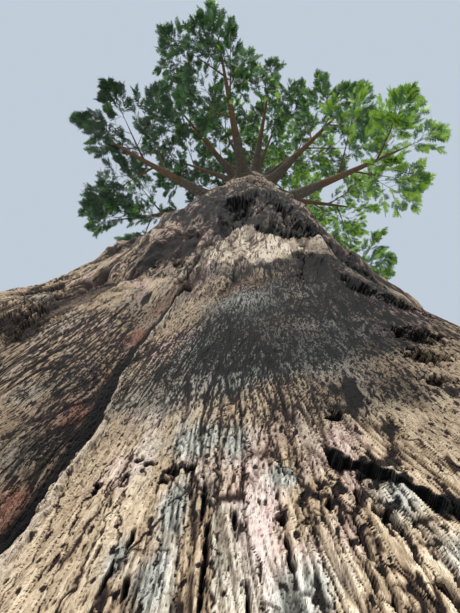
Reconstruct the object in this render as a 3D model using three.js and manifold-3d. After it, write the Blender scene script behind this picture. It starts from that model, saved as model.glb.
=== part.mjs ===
// A giant sequoia, the whole tree above ground, at four sevenths of its real size: 70 m in life, 40 m here.
// Millimetres, +Z up. The origin is in the middle of the flat cut at ground level, and -Y is the side that
// the two largest buttresses part on. The trunk is one tapering, fluted solid from the cut to its tip. The
// lower limbs are bare boughs that each end in a mass of foliage, the upper ones are leafy from the trunk
// out, and one mass tops the tree.
import * as THREE from "three";
import { mergeVertices } from "three/addons/utils/BufferGeometryUtils.js";
import Module from "manifold-3d";

const wasm = await Module();
wasm.setup();

const METRE = 1000;
const CLEARANCE = 0.3; // between two pieces that meet
const SMALLEST_FEATURE = 1; // what a joint leaves that is finer than this is smoothed away
const GOLDEN_ANGLE = Math.PI * (3 - Math.sqrt(5)); // the turn from each limb to the next one up

// The trunk: a slow taper, a flared foot, buttresses that die out upwards, and a slight lean.
const TREE_HEIGHT = 40 * METRE;
const TRUNK_TOP = 38.6 * METRE;
const BOLE_RADIUS = 1.6 * METRE; // what the taper gives at the ground, without the flare
const TIP_RADIUS = 0.045 * METRE;
const TAPER_POWER = 0.78;
const FLARE_REACH = 0.62 * METRE;
const FLARE_HEIGHT = 1.0 * METRE; // the flare is e times less this far up
const LEAN = new THREE.Vector2(0.33 * METRE, -0.54 * METRE); // of the tip
const BUTTRESSES = [
  { count: 3, share: 0.14, turn: 0.3 },
  { count: 5, share: 0.24, turn: -2.3 },
  { count: 8, share: 0.2, turn: -1.36 },
];
const FLUTE = { count: 9, depth: 0.035 * METRE, height: 9 * METRE, twist: 0.09 / METRE };
const TRUNK_SIDES = 32;
const TRUNK_RINGS = 20;
const RING_CROWDING = 1.8; // above 1, the rings crowd together towards the foot

// The crown: limbs in one spiral, each with an egg-shaped space for its foliage.
const BOUGH_COUNT = 24;
const LEAFY_LIMB_COUNT = 9; // above the boughs, with no bare stretch
const FIRST_TURN = (200 / 180) * Math.PI;
const CROWN_FOOT = 14.3 * METRE;
const CROWN_HEAD = 37.5 * METRE;
const WIDEST_REACH = 5.9 * METRE;
const CROWN_SHAPE = { power: 1.7, fullness: 0.7 };
const BARE_SHARE = 0.24; // of a bough's way out from the trunk
const PITCH_LOW = -0.16;
const PITCH_HIGH = 0.85;
const UPTURN = 0.22; // how much more steeply a limb ends than it runs overall
const LIMB_GIRTH = 0.037; // of its reach
const LIMB_TAPER = 0.55;
const BOUGH_SIDES = 5;
const BOUGH_STEPS = 3;
const SPACE_WIDTH = 1.2; // of the space's length
const SPACE_DEPTH = 0.95;

// The foliage: three-sided twigs, and toothed blades that each stand for a spray.
const TWIGS_IN_MASS = 4;
const STEM_SHARE = 1.5; // of half the space's length
const TWIG_ANGLE = 0.95; // between a twig and its stem
const TWIG_SHARE = 0.55; // of the way from the stem to the edge of the space
const TWIG_RADIUS = 0.032 * METRE;
const BLADE_LONGEST = 1.9 * METRE;
const BLADE_SHORTEST = 0.34; // of half the space's length
const BLADE_WIDTH = 0.8; // of its length, as is its thickness
const BLADE_THICKNESS = 0.045;
const BLADE_SPLAY = 0.85; // between a side blade and its twig
const BLADE_OUTLINE = [
  [0, 0],
  [0.52, -0.5],
  [0.66, -0.27],
  [1, 0],
  [0.66, 0.27],
  [0.52, 0.5],
];
const BLADE_MIDDLE = 0.5;
const BLADE_ROOTS = [0.36, 0.9, 0.66]; // how far along their twig the left, end and right blades grow
const BLADE_PROBES = [...BLADE_OUTLINE.slice(1), [BLADE_MIDDLE, 0], [0.3, -0.29], [0.3, 0.29]];
const BLADE_TRIES = [1, 0.82, 0.66, 0.5]; // a blade that would be in the way is made this much shorter

const UP = new THREE.Vector3(0, 0, 1);

const bark = new THREE.MeshStandardMaterial({ color: 0x7b6252, roughness: 0.95, metalness: 0 });
const limbBark = new THREE.MeshStandardMaterial({ color: 0x6d5443, roughness: 0.92, metalness: 0 });
const greens = [0x3f5e39, 0x54763c, 0x33512f].map(
  (color) => new THREE.MeshStandardMaterial({ color, roughness: 0.75, metalness: 0 }),
);

// A number from 0 to 1 that is always the same for the same two numbers.
function chance(a, b) {
  const s = Math.sin(a * 127.1 + b * 311.7) * 43758.5453;
  return s - Math.floor(s);
}

// The trunk's centre line leans a little more the higher it goes.
function trunkAxis(height) {
  const share = (height / TREE_HEIGHT) ** 2;
  return new THREE.Vector3(LEAN.x * share, LEAN.y * share, height);
}

function trunkRadius(height, turn) {
  const bole = TIP_RADIUS + (BOLE_RADIUS - TIP_RADIUS) * Math.max(0, 1 - height / TRUNK_TOP) ** TAPER_POWER;
  const ridges = BUTTRESSES.reduce((sum, b) => sum + b.share * Math.cos(b.count * (turn - b.turn)), 1);
  const flutes = FLUTE.depth * Math.cos(FLUTE.count * turn + FLUTE.twist * height);
  const flare = FLARE_REACH * ridges * Math.exp(-height / FLARE_HEIGHT);
  return bole + flare + flutes * Math.exp(-height / FLUTE.height);
}

// Moves every vertex of a three.js geometry. Rounding first makes the two sides of its seam the same point.
function reshape(geometry, place) {
  const at = geometry.attributes.position;
  const v = new THREE.Vector3();
  for (let i = 0; i < at.count; i++) {
    v.fromBufferAttribute(at, i);
    v.set(...v.toArray().map((x) => Math.round(x * 1e6) / 1e6 + 0));
    at.setXYZ(i, ...place(v).toArray());
  }
  return geometry;
}

function solidOf(geometry) {
  const bare = new THREE.BufferGeometry()
    .setAttribute("position", geometry.attributes.position)
    .setIndex(geometry.index);
  const merged = mergeVertices(bare, 1e-3);
  return new wasm.Manifold(
    new wasm.Mesh({
      numProp: 3,
      vertProperties: merged.attributes.position.array,
      triVerts: new Uint32Array(merged.index.array),
    }),
  );
}

function meshOf(solid, name, material) {
  const { vertProperties, triVerts } = solid.getMesh();
  const geometry = new THREE.BufferGeometry()
    .setAttribute("position", new THREE.BufferAttribute(vertProperties, 3))
    .setIndex(new THREE.BufferAttribute(triVerts, 1));
  const mesh = new THREE.Mesh(geometry, material);
  mesh.name = name;
  return mesh;
}

// The trunk, made `grown` thicker all round. A unit cylinder's height and angle give each vertex its place.
function trunkSolid(grown) {
  const cylinder = new THREE.CylinderGeometry(1, 1, 1, TRUNK_SIDES, TRUNK_RINGS);
  return solidOf(
    reshape(cylinder, (v) => {
      const height = TRUNK_TOP * (v.y + 0.5) ** RING_CROWDING;
      const turn = Math.atan2(v.x, v.z);
      const radius = Math.hypot(v.x, v.z) * (trunkRadius(height, turn) + grown);
      return trunkAxis(height).add(new THREE.Vector3(Math.cos(turn) * radius, Math.sin(turn) * radius, 0));
    }),
  );
}

// A unit cylinder or cone bent along a curve, its ends square to it.
function alongCurve(geometry, curve, radiusAt) {
  return solidOf(
    reshape(geometry, (v) => {
      const share = v.y + 0.5;
      const along = curve.getTangent(share);
      const level = Math.abs(along.z) > 0.9 ? new THREE.Vector3(1, 0, 0) : UP;
      const across = new THREE.Vector3().crossVectors(along, level).normalize();
      const over = new THREE.Vector3().crossVectors(across, along);
      const radius = radiusAt(share);
      return curve.getPoint(share).addScaledVector(across, v.x * radius).addScaledVector(over, v.z * radius);
    }),
  );
}

function boughSolid({ curve, girth }) {
  const cylinder = new THREE.CylinderGeometry(1, 1, 1, BOUGH_SIDES, BOUGH_STEPS);
  return alongCurve(cylinder, curve, (share) => girth * (1 - (1 - LIMB_TAPER) * share));
}

// A stem or a twig comes to a point, which a blade hides.
function twigSolid(curve, radius, steps) {
  return alongCurve(new THREE.ConeGeometry(1, 1, 3, steps), curve, () => radius);
}

// A blade is a flat bipyramid: a sphere of two bands whose equator takes the toothed outline.
function bladeSolid(blade) {
  const corners = BLADE_OUTLINE.length;
  return solidOf(
    reshape(new THREE.SphereGeometry(1, corners, 2), (v) => {
      const pole = Math.abs(v.y) > 0.5;
      const corner = (Math.round((Math.atan2(v.z, v.x) / (2 * Math.PI)) * corners) + corners) % corners;
      const [along, across] = pole ? [BLADE_MIDDLE, 0] : BLADE_OUTLINE[corner];
      return bladePoint(blade, along, -across, pole ? Math.sign(v.y) * 0.5 : 0);
    }),
  );
}

function bladePoint({ root, along, across, length }, x, y, z) {
  const over = new THREE.Vector3().crossVectors(along, across);
  return root
    .clone()
    .addScaledVector(along, x * length)
    .addScaledVector(across, y * length * BLADE_WIDTH)
    .addScaledVector(over, z * length * BLADE_THICKNESS);
}

function crownReach(height) {
  const share = (height - CROWN_FOOT) / (TREE_HEIGHT - CROWN_FOOT);
  return WIDEST_REACH * (1 - share ** CROWN_SHAPE.power) ** CROWN_SHAPE.fullness;
}

function heading(turn, pitch) {
  return new THREE.Vector3(Math.cos(turn), Math.sin(turn), Math.tan(pitch)).normalize();
}

// Where one limb of the spiral leaves the trunk's centre line, and where it ends and its foliage begins.
function limbPlan(n) {
  const rise = n / (BOUGH_COUNT + LEAFY_LIMB_COUNT - 1);
  const height = CROWN_FOOT + (CROWN_HEAD - CROWN_FOOT) * rise;
  const turn = FIRST_TURN + n * GOLDEN_ANGLE + 0.24 * (chance(n, 1) - 0.5);
  const reach = crownReach(height) * (0.9 + 0.2 * chance(n, 2));
  const pitch = PITCH_LOW + (PITCH_HIGH - PITCH_LOW) * rise ** 1.3 + 0.16 * (chance(n, 3) - 0.5);
  const leafy = n >= BOUGH_COUNT;
  const surface = trunkRadius(height, turn);
  const bare = leafy ? 0 : BARE_SHARE * (reach - surface);
  const start = trunkAxis(height);
  const end = start.clone().addScaledVector(heading(turn, pitch), (surface + bare) / Math.cos(pitch));
  const ahead = heading(turn, pitch + UPTURN);
  const knee = end.clone().addScaledVector(ahead, -0.5 * start.distanceTo(end));
  const curve = new THREE.QuadraticBezierCurve3(start, knee, end);
  const girth = Math.max(LIMB_GIRTH * reach, 2.2 * TWIG_RADIUS);
  const aside = heading(turn + Math.PI / 2, 0);
  return { leafy, curve, girth, ahead, aside, length: reach - surface - bare };
}

// The egg-shaped space of a mass of foliage: its start, its three directions and its three half sizes.
function spaceOf(start, ahead, aside, length) {
  const half = new THREE.Vector3(1, SPACE_WIDTH, SPACE_DEPTH).multiplyScalar(length / 2);
  const over = new THREE.Vector3().crossVectors(ahead, aside);
  return { start, ahead, aside, over, half, centre: start.clone().addScaledVector(ahead, half.x) };
}

// 1 at the edge of a space, and less inside it.
function depthIn(space, point) {
  const from = point.clone().sub(space.centre);
  return Math.hypot(
    from.dot(space.ahead) / space.half.x,
    from.dot(space.aside) / space.half.y,
    from.dot(space.over) / space.half.z,
  );
}

// The distance from a point inside a space to its edge in one direction, by halving.
function roomAhead(space, point, direction) {
  let near = 0;
  let far = 2 * space.half.x;
  for (let i = 0; i < 12; i++) {
    const middle = (near + far) / 2;
    if (depthIn(space, point.clone().addScaledVector(direction, middle)) < 1) near = middle;
    else far = middle;
  }
  return near;
}

const limbs = Array.from({ length: BOUGH_COUNT + LEAFY_LIMB_COUNT }, (_, n) => limbPlan(n));
const spaces = limbs.map(({ leafy, curve, ahead, aside, length }) => {
  const start = curve.getPoint(1).addScaledVector(ahead, leafy ? 0 : CLEARANCE);
  return spaceOf(start, ahead, aside, length);
});
const crest = trunkAxis(TRUNK_TOP).addScaledVector(UP, CLEARANCE);
spaces.push(spaceOf(crest, UP, new THREE.Vector3(1, 0, 0), TREE_HEIGHT - TRUNK_TOP));

// True where a mass may reach: in its own space, deeper in it than in any other, and clear of every limb.
function isFree(n, point) {
  const depth = depthIn(spaces[n], point);
  if (depth > 1.01) return false;
  if (spaces.some((other, m) => m !== n && depthIn(other, point) < depth + 0.04)) return false;
  const axis = trunkAxis(point.z);
  const fromTrunk = Math.hypot(point.x - axis.x, point.y - axis.y);
  if (point.z < TRUNK_TOP && fromTrunk < trunkRadius(point.z, 0) + 2 * TWIG_RADIUS) return false;
  return limbs.every(
    ({ curve, girth, leafy }, m) =>
      m === n || leafy || [0.4, 0.6, 0.8, 1].every((t) => curve.getPoint(t).distanceTo(point) > 1.8 * girth),
  );
}

// One mass of foliage: a stem that goes on from its limb, twigs in a spiral round it, a blade on the stem's
// end and three on each twig. A blade that would be in the way is tried again shorter, and then left out,
// as is a twig.
function massSolid(n) {
  const { start, ahead, aside, over, half } = spaces[n];
  const limb = limbs[n];
  const sunk = limb && limb.leafy ? 0.7 * limb.curve.getLength() : 0; // into the trunk
  const stemStart = start.clone().addScaledVector(ahead, -sunk);
  const stemEnd = start.clone().addScaledVector(ahead, STEM_SHARE * half.x);
  const stemRadius = (limb ? limb.girth * LIMB_TAPER : TIP_RADIUS) * 0.9;
  let mass = twigSolid(new THREE.LineCurve3(stemStart, stemEnd), stemRadius, 1);

  function addBlade(root, along, draw) {
    const loose = heading(2 * Math.PI * chance(n, draw), Math.PI * (chance(n, draw + 1) - 0.5));
    const across = new THREE.Vector3().crossVectors(along, loose).normalize();
    const room = Math.min(roomAhead(spaces[n], root, along), BLADE_LONGEST);
    const blade = BLADE_TRIES.map((share) => ({ root, along, across, length: share * room })).find(
      (b) =>
        b.length > BLADE_SHORTEST * half.x &&
        BLADE_PROBES.every(([x, y]) => isFree(n, bladePoint(b, x, y, 0))),
    );
    if (blade) mass = mass.add(bladeSolid(blade));
  }

  addBlade(start.clone().lerp(stemEnd, BLADE_ROOTS[1]), ahead, 1000);
  for (let k = 0; k < TWIGS_IN_MASS; k++) {
    const draw = 10 * (k + 1);
    const base = start.clone().lerp(stemEnd, 0.12 + (0.56 * (k + 0.5)) / TWIGS_IN_MASS);
    const round = k * GOLDEN_ANGLE + 2 * Math.PI * chance(n, 4);
    const outwards = aside.clone().multiplyScalar(Math.cos(round)).addScaledVector(over, Math.sin(round));
    const angle = TWIG_ANGLE + 0.3 * (chance(n, draw) - 0.5);
    const along = ahead.clone().multiplyScalar(Math.cos(angle)).addScaledVector(outwards, Math.sin(angle));
    const tip = base.clone().addScaledVector(along, TWIG_SHARE * roomAhead(spaces[n], base, along));
    if (!isFree(n, tip)) continue;
    mass = mass.add(twigSolid(new THREE.LineCurve3(base, tip), TWIG_RADIUS, 1));
    const loose = heading(2 * Math.PI * chance(n, draw + 1), 0.5);
    const beside = new THREE.Vector3().crossVectors(along, loose).normalize();
    for (const side of [-1, 0, 1]) {
      const splay = side * BLADE_SPLAY;
      const splayed = along.clone().multiplyScalar(Math.cos(splay)).addScaledVector(beside, Math.sin(splay));
      addBlade(base.clone().lerp(tip, BLADE_ROOTS[side + 1]), splayed, draw + 4 + 2 * side);
    }
  }
  return mass;
}

const tree = new THREE.Group();
const trunkCutter = trunkSolid(CLEARANCE);
tree.add(meshOf(trunkSolid(0), "trunk", bark));

limbs.forEach(({ curve, girth, leafy }, n) => {
  if (leafy) return;
  const bough = boughSolid({ curve, girth }).subtract(trunkCutter).simplify(SMALLEST_FEATURE);
  tree.add(meshOf(bough, `bough_${String(n + 1).padStart(2, "0")}`, limbBark));
});

spaces.forEach((space, n) => {
  const name = n < limbs.length ? `foliage_${String(n + 1).padStart(2, "0")}` : "foliage_top";
  const mass = massSolid(n).subtract(trunkCutter).simplify(SMALLEST_FEATURE);
  tree.add(meshOf(mass, name, greens[n % greens.length]));
});

export default tree;
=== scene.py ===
# %% [markdown]
# # A giant sequoia, from its foot to its crown
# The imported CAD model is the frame: a trunk, boughs, and masses of foliage. This lesson grows the
# same tree finer, from the same named sizes, so every piece lands where the CAD has it. All sizes
# are in metres, and each step says what it made.

# %% Load the frame
from math import cos, pi, radians, sin, tau
from types import SimpleNamespace

import bpy
import numpy as np
from mathutils import Matrix, Vector


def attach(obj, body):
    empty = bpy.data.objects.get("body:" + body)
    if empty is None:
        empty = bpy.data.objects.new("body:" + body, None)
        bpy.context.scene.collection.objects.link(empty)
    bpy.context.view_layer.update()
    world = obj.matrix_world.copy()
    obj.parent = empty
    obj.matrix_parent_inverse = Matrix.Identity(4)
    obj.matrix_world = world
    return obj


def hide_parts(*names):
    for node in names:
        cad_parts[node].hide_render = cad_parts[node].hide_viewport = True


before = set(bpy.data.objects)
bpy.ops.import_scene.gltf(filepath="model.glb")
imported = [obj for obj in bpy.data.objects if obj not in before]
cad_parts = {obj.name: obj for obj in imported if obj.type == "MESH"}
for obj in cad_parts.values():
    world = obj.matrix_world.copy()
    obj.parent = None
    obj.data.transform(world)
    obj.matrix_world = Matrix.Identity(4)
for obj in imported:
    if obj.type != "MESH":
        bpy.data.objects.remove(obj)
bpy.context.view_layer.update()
BOUGHS = sorted(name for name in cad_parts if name.startswith("bough"))
MASSES = sorted(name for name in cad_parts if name.startswith("foliage"))
print(len(BOUGHS), "boughs and", len(MASSES), "masses of foliage in the frame")

# %% [markdown]
# ## Seeded chance and smooth noise
# Bark and branches are irregular, but the script has to give the same tree each time. Chance is
# the fraction left of a large multiple of a sine, so the same two numbers always give the same
# draw, here and in the CAD source. Noise blends random slopes on a grid of cells. Blender's own
# noise could do it point by point, but this one takes whole arrays, and it repeats after a whole
# number of cells in x, so that it closes round the trunk.

# %% Chance and noise


def chance(a, b):
    """The fraction of 43758.5453 sin(127.1 a + 311.7 b), from 0 to 1."""
    large = np.sin(a * 127.1 + b * 311.7) * 43758.5453
    return large - np.floor(large)


def noise(x, y, cells_round, seed):
    """At each corner of a cell, a slope times the way from it, blended by 6t^5 - 15t^4 + 10t^3.

    It is then made 1.6 times as high, so that most of it lies between -1 and 1.
    """
    column, row = np.floor(x), np.floor(y)
    along, up = x - column, y - row
    blend_x, blend_y = (t**3 * (t * (6 * t - 15) + 10) for t in (along, up))

    def corner(dx, dy):
        angle = tau * chance((column + dx) % cells_round + 0.37 * seed, row + dy + 1.7 * seed)
        return np.cos(angle) * (along - dx) + np.sin(angle) * (up - dy)

    low = corner(0, 0) * (1 - blend_x) + corner(1, 0) * blend_x
    high = corner(0, 1) * (1 - blend_x) + corner(1, 1) * blend_x
    return 1.6 * (low * (1 - blend_y) + high * blend_y)


def smooth(x, low, high):
    """0 below low, 1 above high, and 3t^2 - 2t^3 between."""
    t = np.clip((x - low) / (high - low), 0, 1)
    return t * t * (3 - 2 * t)


line = noise(np.linspace(0, 8, 2001), np.linspace(0, 3, 2001), 8, 1)
print("noise runs from", round(line.min(), 2), "to", round(line.max(), 2))

# %% [markdown]
# ## The trunk's form
# The trunk is round with a slow taper. Its foot flares, and swells at the buttresses that run
# down to the roots, and shallow flutes turn slowly round it. The radius is one formula of height
# and turn, the same as in the CAD source, so no mesh has to be read. A turn is an angle about the
# trunk, from +X towards +Y. The photograph looks at the -Y side.

# %% Trunk rules
TREE_HEIGHT = 40.0
TRUNK_TOP = 38.6
BOLE_RADIUS, TIP_RADIUS, TAPER_POWER = 1.6, 0.045, 0.78
FLARE_REACH, FLARE_HEIGHT = 0.62, 1.0
LEAN = np.array([0.33, -0.54])
BUTTRESSES = [(3, 0.14, 0.3), (5, 0.24, -2.3), (8, 0.2, -1.36)]  # how many, share, turn
FLUTES = dict(count=9, depth=0.035, height=9.0, twist=0.09)


def trunk_axis(height):
    """x and y of the centre line: the tip's lean times (height / tree height) squared."""
    return LEAN * (np.asarray(height)[..., None] / TREE_HEIGHT) ** 2


def trunk_radius(height, turn):
    """Taper + flare x (1 + sum of share cos(count (turn - its turn))) + flutes."""
    share = np.maximum(0, 1 - height / TRUNK_TOP)
    bole = TIP_RADIUS + (BOLE_RADIUS - TIP_RADIUS) * share**TAPER_POWER
    ridges = 1 + sum(part * np.cos(count * (turn - at)) for count, part, at in BUTTRESSES)
    wave = np.cos(FLUTES["count"] * turn + FLUTES["twist"] * height)
    flutes = FLUTES["depth"] * wave * np.exp(-height / FLUTES["height"])
    return bole + FLARE_REACH * ridges * np.exp(-height / FLARE_HEIGHT) + flutes


HAND_HEIGHT = 1.1
HAND_GIRTH = tau * float(trunk_radius(HAND_HEIGHT, -pi / 2))
print("the trunk is about", round(HAND_GIRTH, 2), "m round at", HAND_HEIGHT, "m")

# %% [markdown]
# ## Named places on the bark
# Most of the bark follows rules, but what stands out has its place: swellings, hollows, patches of
# colour, painted shade and painted sunlight. They could be sculpted by hand. A table of soft bumps is
# easier to read and to mend. A place is degrees right of -Y, height, and half its width and height in
# the same units. The last number is how far the bark stands out there, or how strong the patch is.

# %% Swellings and hollows
SWELLINGS = [
    (-15, 1.7, 8, 1.6, 0.06),  # the left buttress
    (8.5, 2.2, 2.8, 0.7, 0.05),  # the right ridge
    (15.5, 2.5, 4.0, 0.8, -0.05),  # the flank beyond it
    (4, 4.4, 3.0, 0.5, 0.07), (-9, 4.2, 3.5, 0.5, 0.06), (2, 6.9, 4.5, 0.8, 0.07),
    (-20, 5.6, 6, 1.3, 0.09), (-16, 3.0, 4, 0.5, 0.05), (26, 6.2, 8, 1.4, 0.09),
    (33, 9.6, 8, 1.2, 0.07), (-34, 8.4, 9, 1.6, 0.06),
]
ABOVE_LEDGE = [
    (-4.5, 5.6, 5.0, 0.7, -0.16), (12.5, 5.25, 3.6, 0.5, -0.16), (22, 3.95, 8, 0.45, -0.12),
    (9.8, 3.45, 3.0, 0.36, -0.14), (12.5, 2.95, 2.8, 0.22, -0.1), (3.7, 3.75, 1.4, 0.15, -0.07),
    (-4.6, 3.8, 1.8, 0.2, -0.06), (-13, 3.3, 1.6, 0.12, -0.05),
]
CREASE_HOLE = [(-5.8, 2.13, 0.8, 0.1, -0.08)]
RIDGE_HOLES = [
    (8.5, 1.63, 0.45, 0.05, -0.03), (7.1, 1.45, 0.45, 0.03, -0.035),
    (6.4, 1.36, 0.4, 0.024, -0.035), (5.8, 1.285, 0.25, 0.014, -0.02),
    (7.6, 1.82, 0.4, 0.09, -0.03), (2.8, 1.245, 0.25, 0.008, -0.01),
]
TEAR_PITS = [
    (2.62, 1.11, 0.12, 0.006, -0.012), (2.72, 1.098, 0.09, 0.005, -0.01),
    (2.37, 1.128, 0.05, 0.008, -0.01), (2.15, 1.094, 0.035, 0.012, -0.009),
    (2.07, 1.071, 0.03, 0.01, -0.009), (2.2, 1.056, 0.03, 0.008, -0.008),
    (2.82, 1.06, 0.05, 0.01, -0.008),
]
THIN_SLOTS = [
    (-0.22, 1.094, 0.04, 0.024, -0.008), (-1.84, 1.092, 0.045, 0.012, -0.007),
    (-1.7, 1.127, 0.045, 0.01, -0.007), (-0.4, 1.153, 0.05, 0.02, -0.007),
    (-1.45, 1.087, 0.045, 0.007, -0.008), (0.25, 1.124, 0.04, 0.009, -0.007),
    (1.06, 1.121, 0.08, 0.006, -0.007), (1.09, 1.092, 0.045, 0.018, -0.007),
    (0.44, 1.069, 0.025, 0.012, -0.007), (1.8, 1.149, 0.08, 0.005, -0.007),
    (1.85, 1.13, 0.08, 0.005, -0.007),
]
PIT_CLUSTER = [
    (-1.97, 1.214, 0.12, 0.004, -0.006), (-1.24, 1.198, 0.16, 0.005, -0.007),
    (-0.89, 1.2, 0.14, 0.005, -0.007), (-1.41, 1.186, 0.12, 0.004, -0.006),
    (-2.32, 1.225, 0.12, 0.005, -0.006), (-2.48, 1.2, 0.1, 0.005, -0.006),
    (-3.12, 1.19, 0.09, 0.006, -0.006),
]
HOLLOWS = ABOVE_LEDGE + CREASE_HOLE + RIDGE_HOLES + TEAR_PITS + THIN_SLOTS + PIT_CLUSTER
print(len(SWELLINGS), "swellings and", len(HOLLOWS), "hollows")

# %% Patches of colour, of painted shade and painted sunlight, and of crumbly bark
# Grey patches: the small ones near the eye are bark that weather has greyed; the two wide ones, at 1.45 and
# 1.8 m, give the painted shade there its grey tint.
GREY_PLACES = [
    (-1.1, 1.15, 0.35, 0.024, 1), (-1.75, 1.108, 0.25, 0.018, 1), (-1.1, 1.09, 0.3, 0.02, 1),
    (-0.9, 1.245, 1.0, 0.032, 1), (0.2, 1.225, 0.3, 0.03, 1), (1.0, 1.06, 0.3, 0.02, 0.8),
    (1.65, 1.072, 0.5, 0.022, 1), (1.2, 1.165, 0.3, 0.014, 1), (2.9, 1.12, 0.5, 0.03, 0.8),
    (3.3, 1.07, 0.5, 0.02, 1), (1.2, 1.45, 4, 0.14, 0.9), (2.5, 1.8, 5, 0.3, 0.9),
]
# Painted shade: where these patches lie, the bark's colour is darkened as if in shadow.
PAINTED_SHADE_PLACES = [
    (0.4, 1.5, 2.4, 0.12, 0.9), (-1.2, 1.5, 1.5, 0.12, 0.5), (5.0, 1.28, 1.6, 0.06, 0.5),
    (4.4, 1.18, 0.8, 0.03, 0.3), (3.6, 1.46, 2.4, 0.1, 1), (6.0, 1.47, 2.0, 0.09, 1),
    (3.0, 1.28, 3.0, 0.06, 0.6), (-3.4, 1.4, 1.2, 0.09, 0.5), (1.5, 1.7, 5, 0.14, 0.9),
    (7.5, 1.7, 2.5, 0.16, 0.9), (3.0, 2.0, 5, 0.2, 0.5), (8, 2.1, 4, 0.25, 0.5),
    (-7.6, 1.5, 2.4, 0.14, 0.7), (-6.4, 1.29, 1.6, 0.09, 0.9), (-5.9, 1.16, 1.0, 0.06, 0.75),
    (-8, 1.85, 3, 0.2, 0.5), (-13, 2.7, 4, 0.3, 0.8), (1.5, 2.33, 6, 0.08, 0.5),
    (20, 3.85, 9, 0.65, 1.3), (14, 2.9, 5, 0.4, 0.6), (10.5, 3.3, 3.4, 0.4, 0.8),
    (-6, 5.4, 8, 1.2, 0.9), (14, 5.6, 7, 1.2, 0.9), (0, 9, 40, 3, 0.35),
]
# Painted sunlight: where these lie, plates turn pink, the colour of sunlit bark.
SUNLIT_PINK_PLACES = [
    (-5.4, 2.4, 1.4, 0.2, 1), (7.5, 1.95, 1.5, 0.3, 1), (-9.5, 3.2, 4, 0.5, 1),
    (24, 6.5, 12, 1.4, 1), (-22, 5.2, 10, 1.2, 1), (0.6, 1.12, 0.4, 0.06, 1),
]
PALE_PLACES = [
    (-1.18, 1.122, 0.07, 0.016, 0.5), (-0.76, 1.098, 0.07, 0.02, 0.6),
    (0.42, 1.07, 0.2, 0.02, 0.3), (1.55, 1.085, 0.2, 0.018, 0.3),
]
CRUMBLY_PLACES = [
    (2.9, 1.12, 0.9, 0.045, 1), (-1.6, 1.2, 1.3, 0.016, 1), (1.9, 1.12, 0.5, 0.03, 0.8),
    (2.6, 1.06, 0.5, 0.02, 0.6), (0.5, 3.1, 1.6, 0.2, 1),
]
print(len(GREY_PLACES + PAINTED_SHADE_PLACES + SUNLIT_PINK_PLACES + PALE_PLACES), "patches of colour")


def bump(front, height, where, up, wide, tall, power=2):
    """exp(-(distance from the place, in half widths and half heights) to a power)."""
    return np.exp(-np.abs(np.hypot((front - where) / wide, (height - up) / tall)) ** power)


def places(at, table):
    """The sum of a table's bumps, each times its strength, at most 1."""
    return np.clip(sum(strength * bump(at.front, at.height, *place) for *place, strength in table), 0, 1)


# %% [markdown]
# ## What each point of the bark is like
# The rules that follow ask the same things of a point: how far round it is, whether the eye of
# the photograph can see it, how worn it is, and how ragged an edge is there. They are worked out
# once. Touch and weather wear the bark near the ground smooth, and the finest relief is only made
# in the fan of bark that the eye sees, because elsewhere it would cost faces that nobody sees.

# %% A survey of the bark
FAN_FOOT, FAN_EDGE, FAN_OPENING, FAN_EDGE_TOP = 1.0, 4.5, 19, 36
FULL_RELIEF_RADIUS = 1.2  # where the trunk is thinner, its relief is shallower


def fan_edge(height):
    """Degrees from -Y to the edge of what the eye sees, wider with height."""
    return np.clip(FAN_EDGE + FAN_OPENING * (height - FAN_FOOT), FAN_EDGE, FAN_EDGE_TOP)


def ripple(at, cells_round, tall, seed):
    """Noise with this many cells round the trunk, each this tall."""
    return noise(at.around * cells_round, at.height / tall, cells_round, seed)


def survey(turn, height):
    """Place, wear, raggedness and sway of each point, most of them from 0 to 1."""
    at = SimpleNamespace(height=height, around=turn / tau % 1)
    at.front = (np.degrees(turn) + 90 + 180) % 360 - 180
    at.slim = np.clip(trunk_radius(height, turn) / FULL_RELIEF_RADIUS, 0.15, 1)
    at.seen = 1 - smooth(np.abs(at.front) / fan_edge(height), 0.9, 1)
    at.worn = (1 - smooth(height, 1.6, 3.2)) * (1 - smooth(np.abs(at.front), 8, 20))
    at.worn = at.worn * smooth(height, 0.3, 0.9)
    at.worn = np.maximum(at.worn, 0.8 * bump(at.front, height, 1.5, 2.9, 9, 0.8, 4))
    at.near = at.worn * (1 - smooth(height, 1.16, 1.4))
    at.far = smooth(height, 1.5, 2.4)
    at.fine = 0.5 * ripple(at, 900, 0.03, 15) + 0.5 * ripple(at, 2600, 0.008, 19)
    coarse = 0.5 * ripple(at, 160, 0.25, 24) + 0.5 * ripple(at, 420, 0.09, 25)
    at.ragged = at.fine + (coarse - at.fine) * at.far
    at.sway = 0.35 * ripple(at, 30, 0.9, 13) + 0.05 * ripple(at, 170, 0.2, 14)
    at.torn = smooth(ripple(at, 70, 0.45, 20), -0.15, 0.3)
    at.crumbly = places(at, CRUMBLY_PLACES)
    at.knotty = smooth(height, 2.9, 3.8) * (1 - smooth(height, 8, 13))
    at.knotty = at.knotty * (1 - smooth(np.abs(at.front), 30, 60))
    return at


print("the fan is", [round(2 * float(fan_edge(h))) for h in (1, 2, 4)], "degrees wide at 1, 2 and 4 m")

# %% [markdown]
# ## The crease
# Two buttresses meet in a crease, left of the middle. Its right side hangs over it as a lip with a
# painted highlight, and red inner bark shows in the gap, which has painted shade. A boolean cut
# would leave a seam to mend. A step in the relief along a wandering line gives the same edge with
# no new faces.

# %% Crease
CREASE_LIP, CREASE_STEP = 0.006, 0.055


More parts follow.
